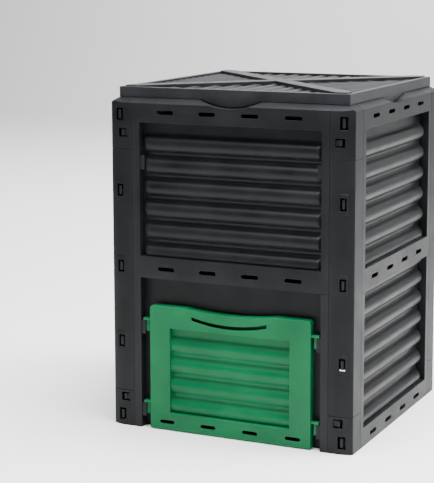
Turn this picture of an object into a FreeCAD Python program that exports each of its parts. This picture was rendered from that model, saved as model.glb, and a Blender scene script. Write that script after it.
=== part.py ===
import FreeCAD, Part
import math
import os
from collections import namedtuple

# Square garden compost bin of snap-together moulded panels, in millimetres.
# Origin: centre of the footprint on the ground. X to the right, -Y to the front
# (the door side), Z up. Every wall is first drawn as if it were the front one.

# Body
WIDTH = 610.0               # outside, left to right
DEPTH = 610.0               # outside, front to back
FACE_TOP = 778.0            # top of the upright faces
WALL = 3.0                  # moulded wall
SEAM = 0.3                  # gap between neighbouring pieces

# Top ledge under the lid
BEVEL_RISE = 12.0
BEVEL_RUN = 18.0
LEDGE = 16.0

# Wall panels: bands, window and corrugated sheet
BOTTOM_BAND = 45.0
MID_BAND_LOW = 365.5
MID_BAND_HIGH = 416.0
TOP_BAND_LOW = 733.0
WINDOW_FRAME = 19.0         # upright strip between window and corner piece
WINDOW_DEEP = 24.0          # face to the flat of the sheet
CREST_DEEP = 8.0            # face to the wave crests
WAVE_PITCH = 51.5
UPPER_WAVES = 6
LOWER_WAVES = 7
CREST_SHARE = 0.68          # part of each half wave that is the broad crest arc
UPPER_FIRST_CREST = 424.5
LOWER_FIRST_CREST = 55.5
TONGUE = 12.0               # lower sheet reaching up behind the middle band

# Vents
VENT_LONG = 42.0
VENT_HIGH = 9.0
VENT_STEP = 107.2
VENT_COUNT = 4
TOP_VENT = 757.6
MID_VENT = 389.0
BOTTOM_VENT = 19.4

# Corner pieces
CORNER_LEG = 58.0
CORNER_FLAT = 20.0          # flat stretch before the face curves back
CORNER_SETBACK = 8.0        # how far the edge lies behind the face
CORNER_WEB_DEEP = 22.0
BOTTOM_BLOCK = 87.0
TOP_BLOCK_LOW = 670.0
CATCH_COLUMN = 25.0         # hook holes, from the corner
KEY_COLUMN = 34.0           # square key holes, from the corner
BOSS_WIDE = 27.0
BOSS_HIGH = 46.0
BOSS_THICK = 7.0
HOOK_HOLE = (15.0, 29.0)
END_HOLE = (18.0, 29.0)
KEY_HOLE = (22.0, 20.0)
HOOK_STEP = 181.9           # from the middle band's vents to the hook holes
END_STEP = 362.2
KEY_STEP = 318.3

# Panel edges that lock into the corner pieces
FLANGE = 14.0
HOOK_HIGH = 21.0
HOOK_DEEP = 34.0
HOOK_GAP = 12.0             # hook behind the corner's front face
TOOTH_WIDE = 7.0
TOOTH_SHY = 1.5             # tooth tip behind the corner's front face
KEY_HIGH = 14.0
KEY_LONG = 29.0

# Finger notches in the top edge, and the lid tongues behind them
NOTCH_WIDE = 157.0
NOTCH_DEEP = 18.0
TONGUE_GAP = 2.0

# Door opening
APERTURE_WIDE = 380.0
APERTURE_LOW = 14.0
APERTURE_HIGH = 285.0
APERTURE_LIP = 16.0
CATCH_WIDE = 10.5
CATCH_HIGH = 33.0
CATCH_THICK = 4.0
CATCH_DEEP = 3.0
DOOR_CATCHES = (262.0, 61.0)    # tops of the catches beside the door
SPARE_CATCH = 655.0             # top of the spare catches in the upper window

# Door
DOOR_WIDE = 409.0
DOOR_LOW = 2.0
DOOR_HIGH = 301.0
DOOR_DEEP = 23.0
DOOR_CORNER = 9.0
DOOR_DIP = 8.0
DOOR_DIP_WIDE = 230.0
FIELD_WIDE = 304.0
FIELD_LOW = 44.0
FIELD_HIGH = 249.0
FIELD_DEEP = 15.0
FIELD_CREST = 5.0
FIELD_WAVES = 4
FIELD_PITCH = 49.0
FIELD_FIRST_CREST = 59.5
GRIP_WIDE = 190.0
GRIP_HIGH = 8.0
GRIP_SAG = 12.0
GRIP_LOW = 261.0
DOOR_VENT_LONG = 37.0
DOOR_VENT_HIGH = 8.0
DOOR_VENT = 20.9
HOOK_ARM = 6.0
HOOK_LEG = 27.0
HOOK_LEG_WIDE = 12.0
HOOK_LEG_THICK = 6.0
HOOK_LEG_FROM_DOOR = 4.5
HOOK_LEG_GAP = 1.0          # leg behind its catch
HOOK_OVERLAP = 3.0

# Lid
LID_INSET = 17.0            # skirt behind the faces
LID_TOP = 814.0
LID_RIM = 14.0
LID_CREST = 4.0             # ridge crests below the rim
LID_VALLEY = 10.0           # grooves below the rim
LID_RIDGES = 15
BRACE_WIDE = 42.0
BRACE_TOP = 817.0

# Lid hinge
HINGE_X = 150.0
HINGE_BACK = 9.0            # pin axis inside the rear face
HINGE_HIGH = 803.0
PIN_RADIUS = 3.0
PIN_FIT = 0.05
KNUCKLE_RADIUS = 6.5
KNUCKLE_LONG = 44.0
EAR_THICK = 6.0
EAR_RADIUS = 7.0
EAR_GAP = 0.5

# Worked out
LEDGE_TOP = FACE_TOP + BEVEL_RISE
BAND_DEEP = WINDOW_DEEP - SEAM
NOTCH_RADIUS = ((NOTCH_WIDE / 2) ** 2 + NOTCH_DEEP ** 2) / (2 * NOTCH_DEEP)
NOTCH_CENTRE = LEDGE_TOP - NOTCH_DEEP + NOTCH_RADIUS
HOOK_HEIGHTS = [MID_VENT + step for step in (-END_STEP, -HOOK_STEP, 0, HOOK_STEP, END_STEP)]
KEY_HEIGHTS = [MID_VENT - KEY_STEP, MID_VENT + KEY_STEP]
LID_BASE = LEDGE_TOP + SEAM
UP = FreeCAD.Vector(0, 0, 1)
ALONG_X = FreeCAD.Vector(1, 0, 0)
ALONG_Y = FreeCAD.Vector(0, 1, 0)
CENTRE = FreeCAD.Vector(0, 0, 0)

# span: length of the face. reach: centre to face. turn: degrees about Z from the front.
Side = namedtuple("Side", "name span reach turn")
FRONT = Side("front", WIDTH, DEPTH / 2, 0)
RIGHT = Side("right", DEPTH, WIDTH / 2, 90)
BACK = Side("back", WIDTH, DEPTH / 2, 180)
LEFT = Side("left", DEPTH, WIDTH / 2, 270)
SIDES = [FRONT, RIGHT, BACK, LEFT]


def box(x_low, x_high, y_low, y_high, z_low, z_high):
    """Upright box between two corners."""
    low = FreeCAD.Vector(x_low, y_low, z_low)
    return Part.makeBox(x_high - x_low, y_high - y_low, z_high - z_low, low)


def slab(side, x_low, x_high, deep_low, deep_high, z_low, z_high):
    """Box on a wall, with its depth counted inwards from the face."""
    return box(x_low, x_high, deep_low - side.reach, deep_high - side.reach, z_low, z_high)


def both(side, x_low, x_high, deep_low, deep_high, z_low, z_high):
    """A slab and its mirror image at the other end of the wall."""
    return [slab(side, x_low, x_high, deep_low, deep_high, z_low, z_high),
            slab(side, -x_high, -x_low, deep_low, deep_high, z_low, z_high)]


def joined(shapes):
    """One solid of many."""
    return shapes[0].multiFuse(shapes[1:]).removeSplitter()


def prism(points, direction):
    """Solid swept from a closed outline of straight edges."""
    return Part.Face(Part.makePolygon(points + points[:1])).extrude(direction)


def placed(shape, side):
    """A shape of the front wall turned to its own wall."""
    return shape.rotate(CENTRE, UP, side.turn)


def half_panel(side):
    """Half the width of a panel between its two corner pieces."""
    return side.span / 2 - CORNER_LEG - SEAM / 2


def half_window(side):
    """Half the width of a panel's window."""
    return side.span / 2 - CORNER_LEG - WINDOW_FRAME


def stadium(side, x, z, long, high, deep):
    """Cutter for a round-ended slot through the face."""
    flat = (long - high) / 2
    start = -side.reach - WALL
    ends = [Part.makeCylinder(high / 2, deep + WALL, FreeCAD.Vector(x + end, start, z), ALONG_Y)
            for end in (-flat, flat)]
    middle = box(x - flat, x + flat, start, start + deep + WALL, z - high / 2, z + high / 2)
    return joined([middle] + ends)


def vents(side, z, long=VENT_LONG, high=VENT_HIGH):
    """The row of vent cutters at one height."""
    first = -VENT_STEP * (VENT_COUNT - 1) / 2
    return [stadium(side, first + VENT_STEP * place, z, long, high, 2 * WALL)
            for place in range(VENT_COUNT)]


def wave_edges(place, first_crest, pitch, waves, crest, valley, skin):
    """Tangent arcs along a corrugated face, valley to valley, set back by a skin thickness.

    place turns a depth and a distance along the waves into a point.
    """
    half = pitch / 2
    lean = 2 * math.atan((valley - crest) / half)
    radius = half * (1 - CREST_SHARE) / math.sin(lean) + skin
    groove = radius * math.sin(lean)
    bottom = valley + skin
    knee = bottom - radius * (1 - math.cos(lean))
    eased = bottom - radius * (1 - math.cos(lean / 2))
    eased_run = radius * math.sin(lean / 2)
    low = first_crest - half
    high = low + pitch * waves

    def arc(*corners):
        return Part.Arc(*[place(deep, along) for deep, along in corners]).toShape()

    edges = [arc((bottom, low), (eased, low + eased_run), (knee, low + groove))]
    for wave in range(waves):
        base = low + pitch * wave
        top = base + pitch
        edges.append(arc((knee, base + groove), (crest + skin, base + half), (knee, top - groove)))
        if wave < waves - 1:
            edges.append(arc((knee, top - groove), (bottom, top), (knee, top + groove)))
    edges.append(arc((knee, high - groove), (eased, high - eased_run), (bottom, high)))
    return edges


def wave_sheet(place, sweep, first_crest, pitch, waves, crest, valley):
    """Corrugated sheet of one wall thickness, swept straight from its profile."""
    outer = wave_edges(place, first_crest, pitch, waves, crest, valley, 0)
    inner = wave_edges(place, first_crest, pitch, waves, crest, valley, WALL)
    ends = [Part.LineSegment(outer[edge].Vertexes[end].Point,
                             inner[edge].Vertexes[end].Point).toShape()
            for edge, end in ((0, 0), (-1, -1))]
    outline = Part.Wire(Part.__sortEdges__(outer + inner + ends))
    return Part.Face(outline).extrude(sweep)


def wall_sheet(side, half_width, first_crest, pitch, waves, crest, valley):
    """Corrugated sheet of a wall, with its waves lying along the wall."""
    def place(deep, up):
        return FreeCAD.Vector(-half_width, deep - side.reach, up)
    return wave_sheet(place, ALONG_X * (2 * half_width), first_crest, pitch, waves, crest, valley)


def envelope(width, depth, low):
    """Solid outer form of the bin from a height up to the ledge, bevel included."""
    upright = box(-width / 2, width / 2, -depth / 2, depth / 2, low, FACE_TOP)
    rings = []
    for inset, z in ((0, FACE_TOP), (BEVEL_RUN, LEDGE_TOP)):
        x = width / 2 - inset
        y = depth / 2 - inset
        corners = [FreeCAD.Vector(sx * x, sy * y, z) for sx, sy in ((-1, -1), (1, -1), (1, 1), (-1, 1))]
        rings.append(Part.makePolygon(corners + corners[:1]))
    return upright.fuse(Part.makeLoft(rings, True, True))


def ledge_ring(width, depth):
    """Bevel and flat ledge round the top opening, one wall thick."""
    low = FACE_TOP - WALL
    solid = envelope(width, depth, low)
    hollow = envelope(width - 2 * WALL, depth - 2 * WALL, low - WALL)
    hollow.translate(UP * -WALL)
    inset = BEVEL_RUN + LEDGE
    opening = box(inset - width / 2, width / 2 - inset, inset - depth / 2, depth / 2 - inset,
                  low - WALL, LEDGE_TOP + WALL)
    return solid.cut(hollow).cut(opening)


def notch_disc(side, radius, deep_low, deep_high):
    """Lens-shaped disc of a finger notch, lying across the wall."""
    centre = FreeCAD.Vector(0, deep_low - side.reach, NOTCH_CENTRE)
    return Part.makeCylinder(radius, deep_high - deep_low, centre, ALONG_Y)


def edge_walls(side, z_low, z_high):
    """Upright edge walls of a panel, with the flanges that slide behind the corner pieces."""
    edge = half_panel(side)
    walls = both(side, edge - WALL, edge, 0, BAND_DEEP, z_low, z_high)
    start = WALL + SEAM
    flanges = both(side, edge - WALL, edge + FLANGE, start, start + WALL, z_low, z_high)
    return walls + flanges


def corner_locks(side, z_low, z_high):
    """What holds a panel in its corner pieces: hooks on side walls, keys on the others."""
    start = WALL + SEAM
    edge = half_panel(side)
    pieces = []
    if side in (FRONT, BACK):
        for z in (z for z in KEY_HEIGHTS if z_low < z < z_high):
            low = z - KEY_HIGH / 2
            high = z + KEY_HIGH / 2
            far = edge + KEY_LONG
            pieces += both(side, edge, far, start, start + WALL, low, high)
            pieces += both(side, far - TOOTH_WIDE, far, TOOTH_SHY, start, low, high)
        return pieces
    stem = side.span / 2 - HOOK_GAP - WALL
    tooth = CATCH_COLUMN + TOOTH_WIDE / 2
    for z in (z for z in HOOK_HEIGHTS if z_low < z < z_high):
        low = z - HOOK_HIGH / 2
        high = z + HOOK_HIGH / 2
        pieces += both(side, edge, stem + WALL, start, start + WALL, low, high)
        pieces += both(side, stem, stem + WALL, start, HOOK_DEEP, low, high)
        pieces += both(side, stem, side.span / 2 - TOOTH_SHY, tooth - TOOTH_WIDE, tooth, low, high)
    return pieces


def window_walls(side, z_low, z_high):
    """Upright walls on both sides of a window, down to the sheet."""
    inner = half_window(side)
    return both(side, inner, inner + WALL, 0, WINDOW_DEEP + WALL, z_low, z_high)


def catches(side, top):
    """Pair of door catches that stand out of a window's side walls."""
    wall = half_window(side)
    return both(side, wall - CATCH_WIDE, wall + WALL, CATCH_DEEP, CATCH_DEEP + CATCH_THICK,
                top - CATCH_HIGH, top)


def face_strips(side, z_low, z_high):
    """Upright flat strips between a window and its corner pieces."""
    return both(side, half_window(side), half_panel(side), 0, WALL, z_low, z_high)


def upper_panel(side):
    """Upper wall panel: middle band, corrugated window, top band and its share of the ledge."""
    half = half_panel(side)
    inner = half_window(side) + WALL
    sheet_top = UPPER_FIRST_CREST + WAVE_PITCH * (UPPER_WAVES - 0.5)
    back = WINDOW_DEEP + WALL
    sheet = wall_sheet(side, inner, UPPER_FIRST_CREST, WAVE_PITCH, UPPER_WAVES, CREST_DEEP, WINDOW_DEEP)
    pieces = [slab(side, -half, half, 0, WALL, MID_BAND_LOW, MID_BAND_HIGH),
              slab(side, -half, half, 0, WALL, TOP_BAND_LOW, FACE_TOP),
              slab(side, -half, half, 0, BAND_DEEP, MID_BAND_LOW, MID_BAND_LOW + WALL),
              slab(side, -inner, inner, 0, back, MID_BAND_HIGH - WALL, MID_BAND_HIGH),
              slab(side, -inner, inner, 0, back, TOP_BAND_LOW, TOP_BAND_LOW + WALL),
              slab(side, -inner, inner, WINDOW_DEEP, back, sheet_top, TOP_BAND_LOW + WALL),
              sheet.common(slab(side, -inner, inner, 0, back, MID_BAND_HIGH - WALL, TOP_BAND_LOW))]
    pieces += face_strips(side, MID_BAND_LOW, FACE_TOP)
    pieces += window_walls(side, MID_BAND_HIGH - WALL, TOP_BAND_LOW + WALL)
    pieces += edge_walls(side, MID_BAND_LOW, FACE_TOP - WALL)
    pieces += corner_locks(side, MID_BAND_LOW, FACE_TOP)
    share = slab(side, -half, half, -WALL, BEVEL_RUN + LEDGE + WALL, TOP_BAND_LOW, LEDGE_TOP + WALL)
    pieces.append(ledge_ring(side.span, 2 * side.reach).common(share))
    if side is FRONT:
        pieces += catches(side, SPARE_CATCH)
    cutters = vents(side, TOP_VENT) + vents(side, MID_VENT)
    if side is BACK:
        return joined(pieces + hinge_ears(side)).cut(joined(cutters))
    trough = notch_disc(side, NOTCH_RADIUS + WALL, 0, BEVEL_RUN + LEDGE)
    roof = envelope(side.span, 2 * side.reach, TOP_BAND_LOW)
    notch = notch_disc(side, NOTCH_RADIUS, -WALL, BEVEL_RUN + LEDGE + WALL)
    cutters.append(notch.common(slab(side, -half, half, -WALL, side.reach, TOP_BAND_LOW, NOTCH_CENTRE)))
    return joined(pieces + [trough.common(roof)]).cut(joined(cutters))


def lower_panel(side):
    """Lower wall panel: bottom band and corrugated window, tongued behind the middle band."""
    half = half_panel(side)
    inner = half_window(side) + WALL
    top = MID_BAND_LOW - SEAM
    back = WINDOW_DEEP + WALL
    sheet = wall_sheet(side, inner, LOWER_FIRST_CREST, WAVE_PITCH, LOWER_WAVES, CREST_DEEP, WINDOW_DEEP)
    pieces = [slab(side, -half, half, 0, WALL, 0, BOTTOM_BAND),
              slab(side, -inner, inner, 0, back, BOTTOM_BAND - WALL, BOTTOM_BAND),
              slab(side, -inner, inner, CREST_DEEP - WALL, back, top - WALL, top),
              slab(side, -inner, inner, WINDOW_DEEP, back, top - WALL, top + TONGUE),
              sheet.common(slab(side, -inner, inner, 0, back, BOTTOM_BAND - WALL, top))]
    pieces += face_strips(side, 0, top)
    pieces += window_walls(side, 0, top)
    pieces += edge_walls(side, 0, top)
    pieces += corner_locks(side, 0, top)
    return joined(pieces).cut(joined(vents(side, BOTTOM_VENT)))


def door_panel(side):
    """Lower front panel: a set-back plate with the lipped door opening and the door catches."""
    inner = half_window(side) + WALL
    top = MID_BAND_LOW - SEAM
    back = WINDOW_DEEP + WALL
    gap = APERTURE_WIDE / 2
    plate = slab(side, -inner, inner, WINDOW_DEEP, back, 0, top + TONGUE)
    lip = slab(side, -gap - WALL, gap + WALL, WINDOW_DEEP, back + APERTURE_LIP,
               APERTURE_LOW - WALL, APERTURE_HIGH + WALL)
    pieces = [plate, lip]
    pieces += face_strips(side, 0, top)
    pieces += window_walls(side, 0, top)
    pieces += edge_walls(side, 0, top)
    pieces += corner_locks(side, 0, top)
    for catch_top in DOOR_CATCHES:
        pieces += catches(side, catch_top)
    opening = slab(side, -gap, gap, 0, back + APERTURE_LIP + WALL, APERTURE_LOW, APERTURE_HIGH)
    return joined(pieces).cut(opening)


def corner_outline(shrink):
    """Outer line of the right front corner, or the line a wall inside it, front leg first."""
    x = WIDTH / 2
    y = -DEPTH / 2
    curve = CORNER_LEG - CORNER_FLAT
    radius = (curve ** 2 + CORNER_SETBACK ** 2) / (2 * CORNER_SETBACK)
    pivot = FreeCAD.Vector(x - curve, y + radius, 0)
    bend = radius - shrink
    inside = x - shrink
    end = math.asin((inside - pivot.x) / bend)
    points = [FreeCAD.Vector(pivot.x + bend * math.sin(angle), pivot.y - bend * math.cos(angle), 0)
              for angle in (0, end / 2, end)]
    leg = FreeCAD.Vector(x - CORNER_LEG, y + shrink, 0)
    tail = FreeCAD.Vector(inside, y + CORNER_LEG, 0)
    return [Part.LineSegment(leg, points[0]).toShape(),
            Part.Arc(*points).toShape(),
            Part.LineSegment(points[-1], tail).toShape()], leg, tail


def corner_shell(z_low, z_high):
    """L-shaped skin of a corner piece between two heights, with its stiffening web."""
    outer, outer_leg, outer_tail = corner_outline(0)
    inner, inner_leg, inner_tail = corner_outline(WALL)
    closing = [Part.LineSegment(outer_leg, inner_leg).toShape(),
               Part.LineSegment(outer_tail, inner_tail).toShape()]
    outline = Part.Wire(Part.__sortEdges__(outer + inner + closing))
    skin = Part.Face(outline).extrude(UP * (z_high - z_low))
    skin.translate(UP * z_low)
    web_right = WIDTH / 2 - CORNER_LEG + CORNER_FLAT - SEAM
    web = box(web_right - WALL, web_right, WALL / 2 - DEPTH / 2, CORNER_WEB_DEEP - DEPTH / 2,
              z_low, z_high)
    return [skin, web]


def corner_hole(column, z, size):
    """Cutter for a hole in the front leg of a corner piece."""
    x = WIDTH / 2 - column
    wide, high = size
    return box(x - wide / 2, x + wide / 2, -DEPTH / 2 - WALL, CORNER_WEB_DEEP + WALL - DEPTH / 2,
               z - high / 2, z + high / 2)


def corner_boss(z):
    """Flush pad round a hook hole, where the leg's face curves back."""
    x = WIDTH / 2 - CATCH_COLUMN
    return box(x - BOSS_WIDE / 2, x + BOSS_WIDE / 2, -DEPTH / 2, BOSS_THICK - DEPTH / 2,
               z - BOSS_HIGH / 2, z + BOSS_HIGH / 2)


def bottom_block():
    """Bottom corner block."""
    holes = [corner_hole(CATCH_COLUMN, HOOK_HEIGHTS[0], END_HOLE),
             corner_hole(KEY_COLUMN, KEY_HEIGHTS[0], KEY_HOLE)]
    return joined(corner_shell(0, BOTTOM_BLOCK)).cut(joined(holes))


def middle_post():
    """Long corner post between the two blocks."""
    heights = HOOK_HEIGHTS[1:-1]
    pieces = corner_shell(BOTTOM_BLOCK + SEAM, TOP_BLOCK_LOW - SEAM)
    pieces += [corner_boss(z) for z in heights]
    return joined(pieces).cut(joined([corner_hole(CATCH_COLUMN, z, HOOK_HOLE) for z in heights]))


def top_block():
    """Top corner block with its mitred share of the ledge."""
    leg = CORNER_LEG
    share = box(WIDTH / 2 - leg, WIDTH / 2, -DEPTH / 2, leg - DEPTH / 2, TOP_BLOCK_LOW, LEDGE_TOP)
    ring = ledge_ring(WIDTH, DEPTH).common(share)
    outer, leg_end, tail_end = corner_outline(0)
    closing = [Part.LineSegment(leg_end, FreeCAD.Vector(leg_end.x, tail_end.y, 0)).toShape(),
               Part.LineSegment(FreeCAD.Vector(leg_end.x, tail_end.y, 0), tail_end).toShape()]
    column = Part.Face(Part.Wire(Part.__sortEdges__(outer + closing))).extrude(UP * (LEDGE_TOP + WALL))
    holes = [corner_hole(CATCH_COLUMN, HOOK_HEIGHTS[-1], END_HOLE),
             corner_hole(KEY_COLUMN, KEY_HEIGHTS[-1], KEY_HOLE)]
    pieces = corner_shell(TOP_BLOCK_LOW, FACE_TOP) + [ring.common(column)]
    return joined(pieces).cut(joined(holes))


def hinge_ears(side):
    """Two pairs of ears on the rear ledge that hold the hinge pins."""
    y = HINGE_BACK - side.reach
    base = FACE_TOP - WALL / 2
    ears = []
    for centre in (-HINGE_X, HINGE_X):
        for place in (-1, 1):
            middle = centre + place * (KNUCKLE_LONG / 2 + EAR_GAP + EAR_THICK / 2)
            start = FreeCAD.Vector(middle - EAR_THICK / 2, y, HINGE_HIGH)
            head = Part.makeCylinder(EAR_RADIUS, EAR_THICK, start, ALONG_X)
            stem = box(start.x, start.x + EAR_THICK, y - EAR_RADIUS, y + EAR_RADIUS, base, HINGE_HIGH)
            ear = head.fuse(stem).cut(Part.makeCylinder(PIN_RADIUS, EAR_THICK, start, ALONG_X))
            under = envelope(side.span, 2 * side.reach, base - WALL)
            under.translate(UP * (-WALL / 2))
            ears.append(ear.cut(under))
    return ears


def hinge_pin(centre):
    """Hinge pin through one pair of ears."""
    long = KNUCKLE_LONG + 2 * (EAR_GAP + EAR_THICK)
    start = FreeCAD.Vector(centre - long / 2, DEPTH / 2 - HINGE_BACK, HINGE_HIGH)
    return Part.makeCylinder(PIN_RADIUS, long, start, ALONG_X)


def lid_knuckles():
    """Barrels on the lid's rear skirt that turn on the hinge pins."""
    y = DEPTH / 2 - HINGE_BACK
    skirt = DEPTH / 2 - LID_INSET
    pieces = []
    for centre in (-HINGE_X, HINGE_X):
        start = FreeCAD.Vector(centre - KNUCKLE_LONG / 2, y, HINGE_HIGH)
        barrel = Part.makeCylinder(KNUCKLE_RADIUS, KNUCKLE_LONG, start, ALONG_X)
        web = box(start.x, start.x + KNUCKLE_LONG, skirt - WALL / 2, y,
                  HINGE_HIGH - KNUCKLE_RADIUS, HINGE_HIGH + KNUCKLE_RADIUS)
        bore = Part.makeCylinder(PIN_RADIUS + PIN_FIT, KNUCKLE_LONG, start, ALONG_X)
        pieces.append(barrel.fuse(web).cut(bore))
    return pieces


def lid_tongue(side):
    """Arc-edged tongue that hangs from the lid's skirt behind a finger notch."""
    half = NOTCH_WIDE / 2
    disc = notch_disc(side, NOTCH_RADIUS - TONGUE_GAP, LID_INSET, LID_INSET + WALL)
    keep = slab(side, -half, half, LID_INSET, LID_INSET + WALL, TOP_BAND_LOW, LID_BASE + WALL)
    return placed(disc.common(keep), side)


def lid_field(side):
    """Triangular ridged field of the lid, its ridges square to one outer edge."""
    edge = side.reach - LID_INSET - LID_RIM
    half = side.span / 2 - LID_INSET - LID_RIM
    low = LID_TOP - LID_VALLEY - WALL

    def place(deep, along):
        return FreeCAD.Vector(along, -edge, LID_TOP - deep)

    pitch = 2 * half / LID_RIDGES
    first = -pitch * (LID_RIDGES - 1) / 2
    sheet = wave_sheet(place, ALONG_Y * edge, first, pitch, LID_RIDGES, LID_CREST, LID_VALLEY)
    corners = [FreeCAD.Vector(-half, -edge, low), FreeCAD.Vector(half, -edge, low),
               FreeCAD.Vector(0, 0, low)]
    return placed(sheet.common(prism(corners, UP * (LID_VALLEY + WALL))), side)


def rect_ring(inset_out, inset_in, z_low, z_high):
    """Rectangular ring between two insets from the bin's faces."""
    rings = [box(inset - WIDTH / 2, WIDTH / 2 - inset, inset - DEPTH / 2, DEPTH / 2 - inset,
                 z_low, z_high) for inset in (inset_out, inset_in)]
    return rings[0].cut(rings[1])


def brace_arms(wide, z_low, z_high, inset):
    """Two crossing diagonal bars, cut off square to the lid."""
    x = WIDTH / 2 - inset
    y = DEPTH / 2 - inset
    long = math.hypot(x, y)
    angle = math.degrees(math.atan2(y, x))
    keep = box(-x, x, -y, y, z_low, z_high)
    arms = []
    for turn in (angle, -angle):
        bar = box(-long, long, -wide / 2, wide / 2, z_low, z_high)
        arms.append(bar.rotate(CENTRE, UP, turn).common(keep))
    return arms[0].fuse(arms[1])


def lid():
    """Square lid: skirt, rim, ridged fields, crossed brace, tongues and knuckles."""
    inner_rim = LID_INSET + LID_RIM
    low = LID_TOP - LID_VALLEY - WALL
    pieces = [rect_ring(LID_INSET, LID_INSET + WALL, LID_BASE, LID_TOP),
              rect_ring(LID_INSET, inner_rim, LID_TOP - WALL, LID_TOP),
              rect_ring(inner_rim - WALL, inner_rim, low, LID_TOP),
              brace_arms(BRACE_WIDE, low, BRACE_TOP, inner_rim - WALL)]
    for side in SIDES:
        pieces.append(lid_field(side))
        if side is not BACK:
            pieces.append(lid_tongue(side))
    channel = brace_arms(BRACE_WIDE - 2 * WALL, low - WALL, BRACE_TOP - WALL, inner_rim)
    return joined(pieces + lid_knuckles()).cut(channel)


def door_hooks():
    """Four hooks on the door's sides: an arm over each catch and a leg down behind it."""
    side = FRONT
    edge = DOOR_WIDE / 2
    leg = edge + HOOK_LEG_FROM_DOOR
    leg_deep = CATCH_DEEP + CATCH_THICK + HOOK_LEG_GAP
    hooks = []
    for catch_top in DOOR_CATCHES:
        low = catch_top + SEAM
        hooks += both(side, edge - WALL, leg + HOOK_LEG_WIDE + HOOK_OVERLAP, CATCH_DEEP,
                      leg_deep + HOOK_LEG_THICK, low, low + HOOK_ARM)
        hooks += both(side, leg, leg + HOOK_LEG_WIDE, leg_deep, leg_deep + HOOK_LEG_THICK,
                      low - HOOK_LEG, low + HOOK_ARM)
    return hooks


def grip_cutter(deep):
    """Smiling slot under the door's top edge, between two arcs."""
    half = GRIP_WIDE / 2
    radius = (half ** 2 + GRIP_SAG ** 2) / (2 * GRIP_SAG)
    start = -FRONT.reach - WALL
    low = Part.makeCylinder(radius, deep + WALL, FreeCAD.Vector(0, start, GRIP_LOW + radius), ALONG_Y)
    high = Part.makeCylinder(radius, deep + WALL,
                             FreeCAD.Vector(0, start, GRIP_LOW + radius + GRIP_HIGH), ALONG_Y)
    keep = slab(FRONT, -half, half, -WALL, deep, GRIP_LOW, GRIP_LOW + GRIP_SAG + GRIP_HIGH)
    return low.cut(high).common(keep)


def door():
    """Lift-out door: shallow tray with a corrugated field, a grip slot, vents and hooks."""
    side = FRONT
    half = DOOR_WIDE / 2
    body = slab(side, -half, half, 0, DOOR_DEEP, DOOR_LOW, DOOR_HIGH)
    upright = [edge for edge in body.Edges
               if abs(edge.Vertexes[0].Z - DOOR_HIGH) < WALL and abs(edge.Vertexes[1].Z - DOOR_HIGH) < WALL
               and abs(edge.Vertexes[0].X - edge.Vertexes[1].X) < WALL]
    body = body.makeFillet(DOOR_CORNER, upright)
    dip_radius = ((DOOR_DIP_WIDE / 2) ** 2 + DOOR_DIP ** 2) / (2 * DOOR_DIP)
    dip = Part.makeCylinder(dip_radius, DOOR_DEEP + 2 * WALL,
                            FreeCAD.Vector(0, -side.reach - WALL, DOOR_HIGH - DOOR_DIP + dip_radius),
                            ALONG_Y)
    inside = slab(side, WALL - half, half - WALL, WALL, DOOR_DEEP + WALL,
                  DOOR_LOW + WALL, DOOR_HIGH - DOOR_DIP - WALL)
    field = FIELD_WIDE / 2
    back = FIELD_DEEP + WALL
    tray = body.cut(dip).cut(inside)
    tray = tray.cut(slab(side, -field, field, -WALL, DOOR_DEEP, FIELD_LOW, FIELD_HIGH))
    sheet = wall_sheet(side, field + WALL, FIELD_FIRST_CREST, FIELD_PITCH, FIELD_WAVES,
                       FIELD_CREST, FIELD_DEEP)
    sheet_top = FIELD_FIRST_CREST + FIELD_PITCH * (FIELD_WAVES - 0.5)
    grip_back = slab(side, -GRIP_WIDE / 2 - WALL, GRIP_WIDE / 2 + WALL, FIELD_DEEP, back,
                     FIELD_HIGH, DOOR_HIGH - DOOR_DIP)
    pieces = [tray, grip_back,
              slab(side, -field, field, 0, back, FIELD_LOW - WALL, FIELD_LOW),
              slab(side, -field, field, 0, back, FIELD_HIGH, FIELD_HIGH + WALL),
              slab(side, -field, field, FIELD_DEEP, back, sheet_top, FIELD_HIGH + WALL),
              sheet.common(slab(side, -field - WALL, field + WALL, 0, back, FIELD_LOW - WALL, FIELD_HIGH))]
    pieces += both(side, field, field + WALL, 0, back, FIELD_LOW - WALL, FIELD_HIGH + WALL)
    pieces += door_hooks()
    cutters = vents(side, DOOR_VENT, DOOR_VENT_LONG, DOOR_VENT_HIGH)
    cutters.append(grip_cutter(2 * WALL))
    return joined(pieces).cut(joined(cutters))


def mirrored(shape, flip_x, flip_y):
    """A corner piece moved to another corner by mirroring."""
    if flip_x:
        shape = shape.mirror(CENTRE, ALONG_X)
    if flip_y:
        shape = shape.mirror(CENTRE, ALONG_Y)
    return shape


def corner_set():
    """The three kinds of corner piece at the four corners."""
    makers = {"bottom_block": bottom_block(), "post": middle_post(), "top_block": top_block()}
    corners = {"front_right": (False, False), "front_left": (True, False),
               "back_right": (False, True), "back_left": (True, True)}
    return {f"{corner}_{kind}": mirrored(shape, *flips)
            for corner, flips in corners.items() for kind, shape in makers.items()}


def build():
    """Every sub-part by node name."""
    nodes = {f"{side.name}_upper_panel": placed(upper_panel(side), side) for side in SIDES}
    for side in SIDES[1:]:
        nodes[f"{side.name}_lower_panel"] = placed(lower_panel(side), side)
    nodes["front_lower_panel"] = door_panel(FRONT)
    nodes.update(corner_set())
    nodes["door"] = door()
    nodes["lid"] = lid()
    nodes["hinge_pin_left"] = hinge_pin(-HINGE_X)
    nodes["hinge_pin_right"] = hinge_pin(HINGE_X)
    return nodes


os.makedirs("parts", exist_ok=True)
for node, shape in build().items():
    solids = shape.Solids
    whole = Part.makeCompound(solids) if len(solids) > 1 else solids[0]
    whole.exportStep(f"parts/{node}.step")
    limits = whole.BoundBox
    print(f"{node}: {len(solids)} solid(s), valid {whole.isValid()}, {whole.Volume / 1000:.1f} cm3, "
          f"z {limits.ZMin:.1f} to {limits.ZMax:.1f}")
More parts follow.
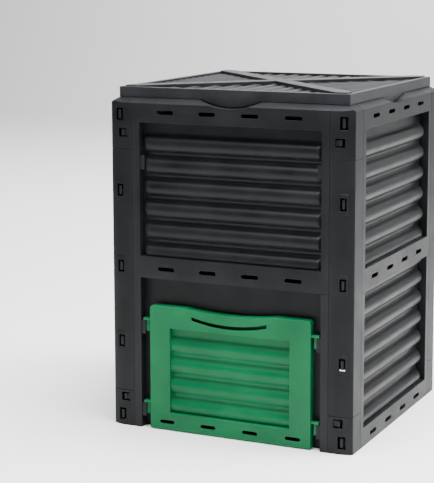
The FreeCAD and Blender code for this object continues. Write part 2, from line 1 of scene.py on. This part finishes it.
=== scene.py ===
"""Square garden compost bin: softened moulded pieces, finishes, studio and camera."""

import logging
import math
from dataclasses import dataclass, field
from enum import Enum

import bmesh
import bpy
from mathutils import Euler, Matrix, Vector


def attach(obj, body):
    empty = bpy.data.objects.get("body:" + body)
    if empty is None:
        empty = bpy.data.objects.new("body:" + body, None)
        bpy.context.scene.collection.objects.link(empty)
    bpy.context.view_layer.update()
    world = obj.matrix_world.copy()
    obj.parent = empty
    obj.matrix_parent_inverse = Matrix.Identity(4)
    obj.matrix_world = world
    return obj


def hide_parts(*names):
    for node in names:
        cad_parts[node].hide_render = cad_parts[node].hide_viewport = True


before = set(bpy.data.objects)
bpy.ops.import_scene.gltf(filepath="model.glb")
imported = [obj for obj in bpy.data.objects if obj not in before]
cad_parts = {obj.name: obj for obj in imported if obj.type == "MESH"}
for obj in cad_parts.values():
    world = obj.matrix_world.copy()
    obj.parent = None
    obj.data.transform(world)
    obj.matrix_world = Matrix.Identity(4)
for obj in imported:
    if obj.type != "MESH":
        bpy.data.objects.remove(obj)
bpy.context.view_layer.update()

LOG = logging.getLogger("compost_bin")
MM = 0.001
WELD = 0.01 * MM            # points this near are one point
CUT_NEAR = 0.02 * MM        # points this near a cut lie on it
FLAT_DEGREES = 0.5          # faces that meet flatter than this are one face
ROUND_DEGREES = 40          # edges sharper than this are rounded
ROUND_STEPS = 2


class Wall(Enum):
    """The four walls, by the turn about Z that brings the front wall to them, in degrees."""

    FRONT = 0
    RIGHT = 90
    BACK = 180
    LEFT = 270


class Tier(Enum):
    """Upper or lower row of panels."""

    UPPER = "upper"
    LOWER = "lower"


def linear(colour: str) -> tuple[float, float, float, float]:
    """Turn an sRGB hex colour into linear values.

    Args:
        colour: six hex digits, such as "2b2c2d".

    Returns:
        Linear red, green, blue and an alpha of one.
    """
    parts = [int(colour[place:place + 2], 16) / 255 for place in (0, 2, 4)]
    values = [part / 12.92 if part <= 0.04045 else ((part + 0.055) / 1.055) ** 2.4
              for part in parts]
    return (*values, 1.0)


def add_node(tree: bpy.types.NodeTree, kind: str, links: dict | None = None,
             **settings: object) -> bpy.types.Node:
    """Add one shader node.

    Args:
        tree: the node tree it goes into.
        kind: the node's type name.
        links: input name or index to the socket that feeds it, or to a plain value.
        settings: attributes of the node itself.

    Returns:
        The new node.
    """
    node = tree.nodes.new(kind)
    for name, value in settings.items():
        setattr(node, name, value)
    for key, source in (links or {}).items():
        socket = node.inputs[key]
        if isinstance(source, bpy.types.NodeSocket):
            tree.links.new(source, socket)
        else:
            socket.default_value = source
    return node


@dataclass(frozen=True)
class MouldedPlastic:
    """Injection-moulded polypropylene, coloured through, with a fine spark-eroded grain.

    The grain breaks up reflections into a soft satin sheen; broad, faint flow marks vary the
    gloss and, at random, the tone, and the raised edges are painted paler as a painted highlight.
    """

    name: str
    colour: str
    highlight_and_tone_colour: str
    roughness: float
    grain_mm: float = 1.6
    grain_height_mm: float = 0.2
    grain_strength: float = 0.08
    grain_detail: float = 3.0
    grain_breakup: float = 0.6
    flow_mm: float = 90.0
    flow_detail: float = 4.0
    flow_breakup: float = 0.55
    flow_low: float = 0.3
    flow_high: float = 0.7
    flow_pale: float = 0.35
    edge_highlight_from: float = 0.53
    edge_highlight_to: float = 0.66
    edge_highlight_pale: float = 0.55
    smoother: float = 0.05
    rougher: float = 0.07
    ior: float = 1.49
    specular: float = 0.14

    def build(self) -> bpy.types.Material:
        """Make the material.

        Returns:
            The node-based material.
        """
        material = bpy.data.materials.new(self.name)
        material.use_nodes = True
        tree = material.node_tree
        tree.nodes.clear()
        place = add_node(tree, "ShaderNodeTexCoord").outputs["Object"]
        # The grain is drawn a little coarser than the real half millimetre so that it shows.
        grain = add_node(tree, "ShaderNodeTexNoise", {
            "Vector": place, "Scale": 1 / (self.grain_mm * MM),
            "Detail": self.grain_detail, "Roughness": self.grain_breakup})
        flow = add_node(tree, "ShaderNodeTexNoise", {
            "Vector": place, "Scale": 1 / (self.flow_mm * MM),
            "Detail": self.flow_detail, "Roughness": self.flow_breakup})
        # Painted highlight: edges that pointiness finds convex are painted paler, standing in for
        # light catching the rounded edges.
        edge = add_node(tree, "ShaderNodeNewGeometry").outputs["Pointiness"]
        edge_highlight = add_node(tree, "ShaderNodeMapRange", {
            "Value": edge, "From Min": self.edge_highlight_from, "From Max": self.edge_highlight_to,
            "To Min": 0.0, "To Max": self.edge_highlight_pale})
        tint = add_node(tree, "ShaderNodeMapRange", {
            "Value": flow.outputs["Fac"], "From Min": self.flow_low,
            "From Max": self.flow_high, "To Min": 0.0, "To Max": self.flow_pale})
        reach = add_node(tree, "ShaderNodeMath", {
            0: edge_highlight.outputs["Result"], 1: tint.outputs["Result"]}, operation="ADD", use_clamp=True)
        # The ramp runs from the plain colour to the paler one. The paler end is the painted edge
        # highlight and the random flow tone together.
        ramp = add_node(tree, "ShaderNodeValToRGB", {"Fac": reach.outputs[0]})
        ramp.color_ramp.elements[0].color = linear(self.colour)
        ramp.color_ramp.elements[1].color = linear(self.highlight_and_tone_colour)
        gloss = add_node(tree, "ShaderNodeMapRange", {
            "Value": flow.outputs["Fac"], "From Min": self.flow_low,
            "From Max": self.flow_high, "To Min": self.roughness - self.smoother,
            "To Max": self.roughness + self.rougher})
        bump = add_node(tree, "ShaderNodeBump", {
            "Height": grain.outputs["Fac"], "Strength": self.grain_strength,
            "Distance": self.grain_height_mm * MM})
        shader = add_node(tree, "ShaderNodeBsdfPrincipled", {
            "Base Color": ramp.outputs["Color"], "Roughness": gloss.outputs["Result"],
            "Normal": bump.outputs["Normal"]})
        shader.inputs["IOR"].default_value = self.ior
        shader.inputs["Specular IOR Level"].default_value = self.specular
        add_node(tree, "ShaderNodeOutputMaterial", {"Surface": shader.outputs["BSDF"]})
        return material


# Each finish's second colour is the paler one, used for the painted edge highlight and the random
# flow tone.
BLACK_PLASTIC = MouldedPlastic("black_polypropylene", "101112", "2a2c2f", 0.40)
POST_PLASTIC = MouldedPlastic("post_polypropylene", "0e0f10", "26282b", 0.44)
LID_PLASTIC = MouldedPlastic("lid_polypropylene", "17181a", "383a3e", 0.36)
GREEN_PLASTIC = MouldedPlastic("green_polypropylene", "00522f", "107848", 0.42, specular=0.18)
PIN_PLASTIC = MouldedPlastic("pin_acetal", "0f1011", "2c2e31", 0.30)


def smooth_object(name: str, mesh: bpy.types.Mesh, finish: bpy.types.Material,
                  bevel: float) -> bpy.types.Object:
    """Turn a mesh into a piece with rounded edges and smooth shading, its modifiers applied.

    Args:
        name: the piece's name.
        mesh: its sharp-edged mesh.
        finish: its material.
        bevel: radius of the rounded edges, in metres.

    Returns:
        The piece, linked to the scene.
    """
    piece = bpy.data.objects.new(name, mesh)
    bpy.context.scene.collection.objects.link(piece)
    rounding = piece.modifiers.new("rounding", "BEVEL")
    rounding.width = bevel
    rounding.segments = ROUND_STEPS
    rounding.limit_method = "ANGLE"
    rounding.angle_limit = math.radians(ROUND_DEGREES)
    rounding.use_clamp_overlap = False
    weighted = piece.modifiers.new("normals", "WEIGHTED_NORMAL")
    weighted.keep_sharp = True
    view = bpy.context.evaluated_depsgraph_get()
    final = bpy.data.meshes.new_from_object(piece.evaluated_get(view))
    piece.modifiers.clear()
    piece.data = final
    final.materials.clear()
    final.materials.append(finish)
    return piece


def soft_copy(node: str) -> bmesh.types.BMesh:
    """Copy a CAD node's mesh, welded and with its flat faces joined up.

    Args:
        node: the node's name.

    Returns:
        The editable copy.
    """
    shell = bmesh.new()
    shell.from_mesh(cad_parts[node].data)
    bmesh.ops.remove_doubles(shell, verts=shell.verts, dist=WELD)
    bmesh.ops.dissolve_limit(shell, angle_limit=math.radians(FLAT_DEGREES), verts=shell.verts,
                             edges=shell.edges)
    for face in shell.faces:
        face.smooth = True
    return shell


def finished_piece(name: str, shell: bmesh.types.BMesh, node: str, body: str,
                   finish: bpy.types.Material, bevel: float) -> bpy.types.Object:
    """Close an edited copy into a piece that stands for its node.

    Args:
        name: the piece's name.
        shell: the edited copy.
        node: the node that it replaces.
        body: the body that it rides on.
        finish: its material.
        bevel: radius of the rounded edges, in metres.

    Returns:
        The piece.
    """
    mesh = bpy.data.meshes.new(name)
    shell.to_mesh(mesh)
    shell.free()
    piece = smooth_object(name, mesh, finish, bevel)
    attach(piece, body)
    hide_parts(node)
    LOG.info("%s: %d faces", name, len(piece.data.polygons))
    return piece


@dataclass
class Panel:
    """One corrugated wall panel with rounded wave ends."""

    wall: Wall
    tier: Tier
    face: float = 305 * MM
    window: float = 228 * MM
    straight: float = 212 * MM
    tip: float = 225 * MM
    floor_deep: float = 24 * MM
    sheet_reach: float = 3.2 * MM
    sheet_front: float = 6 * MM
    slack: float = 0.2 * MM
    lower_window: tuple[float, float] = (0.045, 0.3652)
    upper_window: tuple[float, float] = (0.416, 0.733)
    steps: int = 7
    bevel: float = 0.8 * MM

    def node(self) -> str:
        """Name of the CAD node."""
        return f"{self.wall.name.lower()}_{self.tier.value}_panel"

    def build(self, finish: bpy.types.Material) -> bpy.types.Object:
        """Make the panel.

        Args:
            finish: its material.

        Returns:
            The piece.
        """
        shell = soft_copy(self.node())
        if self.node() != "front_lower_panel":
            self.round_wave_ends(shell)
        return finished_piece(f"{self.node()}_moulding", shell, self.node(), "bin",
                              finish, self.bevel)

    def round_wave_ends(self, shell: bmesh.types.BMesh) -> None:
        """Draw the waves down to the recess floor near both ends of the window.

        Args:
            shell: the panel's copy, changed in place.
        """
        turn = Euler((0, 0, math.radians(self.wall.value))).to_matrix()
        low, high = self.lower_window if self.tier is Tier.LOWER else self.upper_window
        inner = self.face - self.floor_deep - self.sheet_reach
        outer = self.face - self.sheet_front

        def local(point: Vector) -> Vector:
            return turn.transposed() @ point

        def in_sheet(point: Vector) -> bool:
            place = local(point)
            return (abs(place.x) < self.window + self.slack and inner < -place.y < outer
                    and low - self.slack < place.z < high + self.slack)

        for place in range(self.steps + 1):
            share = place / self.steps
            cut = self.straight + (self.tip - self.straight) * math.sin(share * math.pi / 2)
            for end in (-1, 1):
                parts = [part for face in shell.faces if all(in_sheet(v.co) for v in face.verts)
                         for part in (face, *face.edges, *face.verts)]
                bmesh.ops.bisect_plane(shell, geom=list(dict.fromkeys(parts)),
                                       plane_co=turn @ Vector((end * cut, 0, 0)),
                                       plane_no=turn @ Vector((1, 0, 0)), dist=CUT_NEAR)
        for vertex in shell.verts:
            place = local(vertex.co)
            if not in_sheet(vertex.co) or abs(place.x) < self.straight:
                continue
            run = min(1.0, (abs(place.x) - self.straight) / (self.tip - self.straight))
            keep = math.sqrt(max(0.0, 1 - run * run))
            floor = self.face - self.floor_deep
            if -place.y > floor:
                place.y = -(floor + (-place.y - floor) * keep)
                vertex.co = turn @ place


@dataclass
class CornerPiece:
    """A corner post or block."""

    corner: str
    kind: str
    bevel: float = 1.0 * MM

    def build(self, finish: bpy.types.Material) -> bpy.types.Object:
        """Make the corner piece.

        Args:
            finish: its material.

        Returns:
            The piece.
        """
        node = f"{self.corner}_{self.kind}"
        return finished_piece(f"{node}_moulding", soft_copy(node), node, "bin",
                              finish, self.bevel)


@dataclass
class Door:
    """The green lift-out door."""

    bevel: float = 1.4 * MM

    def build(self, finish: bpy.types.Material) -> bpy.types.Object:
        """Make the door.

        Args:
            finish: its material.

        Returns:
            The piece.
        """
        return finished_piece("door_moulding", soft_copy("door"), "door", "door",
                              finish, self.bevel)


@dataclass
class Lid:
    """The hinged, braced lid."""

    bevel: float = 1.0 * MM

    def build(self, finish: bpy.types.Material) -> bpy.types.Object:
        """Make the lid.

        Args:
            finish: its material.

        Returns:
            The piece.
        """
        return finished_piece("lid_moulding", soft_copy("lid"), "lid", "lid",
                              finish, self.bevel)


def dress_pins(finish: bpy.types.Material) -> None:
    """Give the hinge pins their material.

    Args:
        finish: the pins' material.
    """
    for node in ("hinge_pin_left", "hinge_pin_right"):
        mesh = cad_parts[node].data
        mesh.materials.clear()
        mesh.materials.append(finish)


@dataclass
class Studio:
    """Pale floor, soft lights and the camera."""

    floor_size: float = 14.0
    wall_distance: float = 6.0
    wall_bend: float = 1.5
    wall_top: float = 8.0
    bend_steps: int = 12
    floor_colour: str = "f4f4f4"
    floor_roughness: float = 0.6
    sensor_mm: float = 36.0
    long_side: float = 483.0
    focal: float = 1544.8
    centre_v: float = 183.5
    yaw: float = 25.304
    pitch: float = 8.167
    roll: float = 0.167
    spot: tuple[float, float, float] = (1.4673, -3.4636, 1.1023)
    dim_from: float = -0.5
    bright_from: float = 0.5
    dim: float = 0.18
    bright: float = 0.5
    lights: tuple = field(default=(
        ("key", (-0.4, -2.2, 3.8), (0.0, 0.0, 0.4), (2.4, 1.0), 60.0),
        ("fill", (2.6, 0.9, 3.2), (0.0, 0.0, 0.4), (1.6, 1.6), 230.0),
        ("top", (0.5, -0.5, 3.4), (0.0, 0.0, 0.5), (2.4, 2.0), 420.0),
        ("backdrop", (-1.5, 2.5, 3.8), (-2.0, 5.5, 0.2), (4.0, 2.0), 350.0)))

    def build(self) -> None:
        """Make the whole studio."""
        self.make_floor()
        for name, spot, target, size, power in self.lights:
            self.make_light(name, Vector(spot), Vector(target), size, power)
        self.make_world()
        self.make_camera()

    def make_floor(self) -> None:
        """Plain pale floor with a curved backdrop."""
        rise = bmesh.new()
        half = self.floor_size / 2
        profile = [(-half, 0.0), (self.wall_distance, 0.0)]
        bend = self.wall_bend
        profile += [(self.wall_distance + bend * math.sin(a), bend * (1 - math.cos(a)))
                    for a in (math.pi / 2 * k / self.bend_steps
                              for k in range(1, self.bend_steps + 1))]
        profile.append((self.wall_distance + bend, self.wall_top))
        rows = [[rise.verts.new((x, y, z)) for y, z in profile] for x in (-half, half)]
        for k in range(len(profile) - 1):
            rise.faces.new((rows[0][k], rows[1][k], rows[1][k + 1], rows[0][k + 1])).smooth = True
        mesh = bpy.data.meshes.new("studio_floor")
        rise.to_mesh(mesh)
        rise.free()
        floor = bpy.data.objects.new("studio_floor", mesh)
        bpy.context.scene.collection.objects.link(floor)
        paint = bpy.data.materials.new("pale_floor")
        paint.use_nodes = True
        shader = paint.node_tree.nodes["Principled BSDF"]
        shader.inputs["Base Color"].default_value = linear(self.floor_colour)
        shader.inputs["Roughness"].default_value = self.floor_roughness
        mesh.materials.append(paint)

    def make_light(self, name: str, spot: Vector, target: Vector, size: tuple[float, float],
                   power: float) -> None:
        """Add one softbox.

        Args:
            name: the light's name.
            spot: where it stands.
            target: what it faces.
            size: its width and height.
            power: its watts.
        """
        lamp = bpy.data.lights.new(name, "AREA")
        lamp.shape = "RECTANGLE"
        lamp.size, lamp.size_y = size
        lamp.energy = power
        holder = bpy.data.objects.new(name, lamp)
        holder.location = spot
        holder.rotation_euler = (target - spot).to_track_quat("-Z", "Y").to_euler()
        bpy.context.scene.collection.objects.link(holder)

    def make_world(self) -> None:
        """White surroundings, bright behind the object and dim on the camera's side."""
        world = bpy.data.worlds.new("studio")
        bpy.context.scene.world = world
        world.use_nodes = True
        tree = world.node_tree
        place = add_node(tree, "ShaderNodeTexCoord").outputs["Generated"]
        parts = add_node(tree, "ShaderNodeSeparateXYZ", {"Vector": place})
        depth = add_node(tree, "ShaderNodeMapRange", {
            "Value": parts.outputs["Y"], "From Min": self.dim_from, "From Max": self.bright_from,
            "To Min": self.dim, "To Max": self.bright}, interpolation_type="SMOOTHSTEP")
        background = tree.nodes["Background"]
        background.inputs["Color"].default_value = (1.0, 1.0, 1.0, 1.0)
        tree.links.new(depth.outputs["Result"], background.inputs["Strength"])

    def make_camera(self) -> None:
        """Camera at the chosen viewing angle."""
        data = bpy.data.cameras.new("camera")
        data.sensor_fit = "VERTICAL"
        data.sensor_height = self.sensor_mm
        data.lens = self.sensor_mm * self.focal / self.long_side
        data.shift_y = -(self.long_side / 2 - self.centre_v) / self.long_side
        camera = bpy.data.objects.new("camera", data)
        camera.location = self.spot
        camera.rotation_euler = Euler((math.radians(90 - self.pitch), math.radians(self.roll),
                                       math.radians(self.yaw)))
        bpy.context.scene.collection.objects.link(camera)
        bpy.context.scene.camera = camera


def main() -> None:
    """Build every piece, then the studio."""
    logging.basicConfig(level=logging.INFO)
    black = BLACK_PLASTIC.build()
    post = POST_PLASTIC.build()
    for wall in Wall:
        for tier in Tier:
            Panel(wall, tier).build(black)
    for corner in ("front_left", "front_right", "back_left", "back_right"):
        for kind in ("bottom_block", "post", "top_block"):
            CornerPiece(corner, kind).build(post)
    Door().build(GREEN_PLASTIC.build())
    Lid().build(LID_PLASTIC.build())
    dress_pins(PIN_PLASTIC.build())
    Studio().build()


if __name__ == "__main__":
    main()
